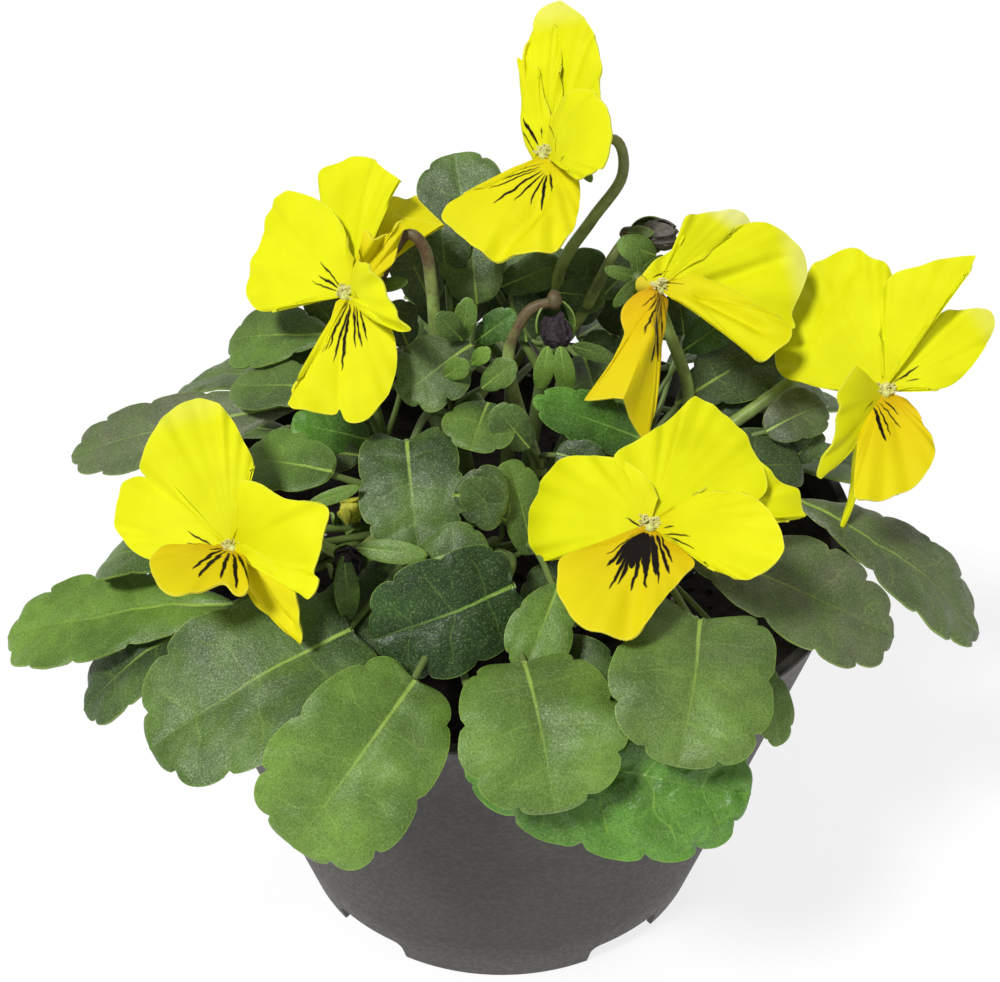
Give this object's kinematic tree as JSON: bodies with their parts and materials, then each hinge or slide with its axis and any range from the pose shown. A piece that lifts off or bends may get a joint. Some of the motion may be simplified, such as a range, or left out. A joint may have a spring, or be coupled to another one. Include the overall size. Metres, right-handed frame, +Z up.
{
  "type": "potted horned violet",
  "caption": "Horned violet with yellow, dark-lined blooms and scalloped leaves in a round plastic nursery pot.",
  "frame": {"origin": "middle of the pot's foot ring, on the ground", "axes": "+Z up along the pot's axis; -Y towards the front of the plant, where most blooms look; +X to the right seen from the front"},
  "size_m": [0.1517, 0.1519, 0.1557],
  "materials": {
    "pot_plastic": "matte moulded plastic",
    "compost": "damp dark potting compost",
    "leaf_green": "slightly glossy leaf",
    "petal_yellow": "velvety petal",
    "withered_petal": "dry shrivelled petal"
  },
  "bodies": {
    "root": {"pot": "pot_plastic", "compost": "compost", "shoot_front_left": "leaf_green", "shoot_front": "leaf_green", "shoot_front_right": "leaf_green", "shoot_right": "leaf_green", "shoot_left": "leaf_green", "shoot_centre_front": "leaf_green", "shoot_centre_left": "leaf_green", "shoot_centre_right": "leaf_green", "shoot_back_left": "leaf_green", "shoot_back": "leaf_green", "shoot_back_right": "leaf_green", "bloom_top": "petal_yellow", "bloom_upper_left": "petal_yellow", "bloom_lower_left": "petal_yellow", "bloom_right": "petal_yellow", "bloom_front": "petal_yellow", "bloom_far_right": "petal_yellow", "bloom_back": "petal_yellow", "withered_head_centre": "withered_petal", "withered_head_left": "withered_petal", "faded_bud": "withered_petal", "yellow_bud": "petal_yellow"}
  },
  "joints": []
}
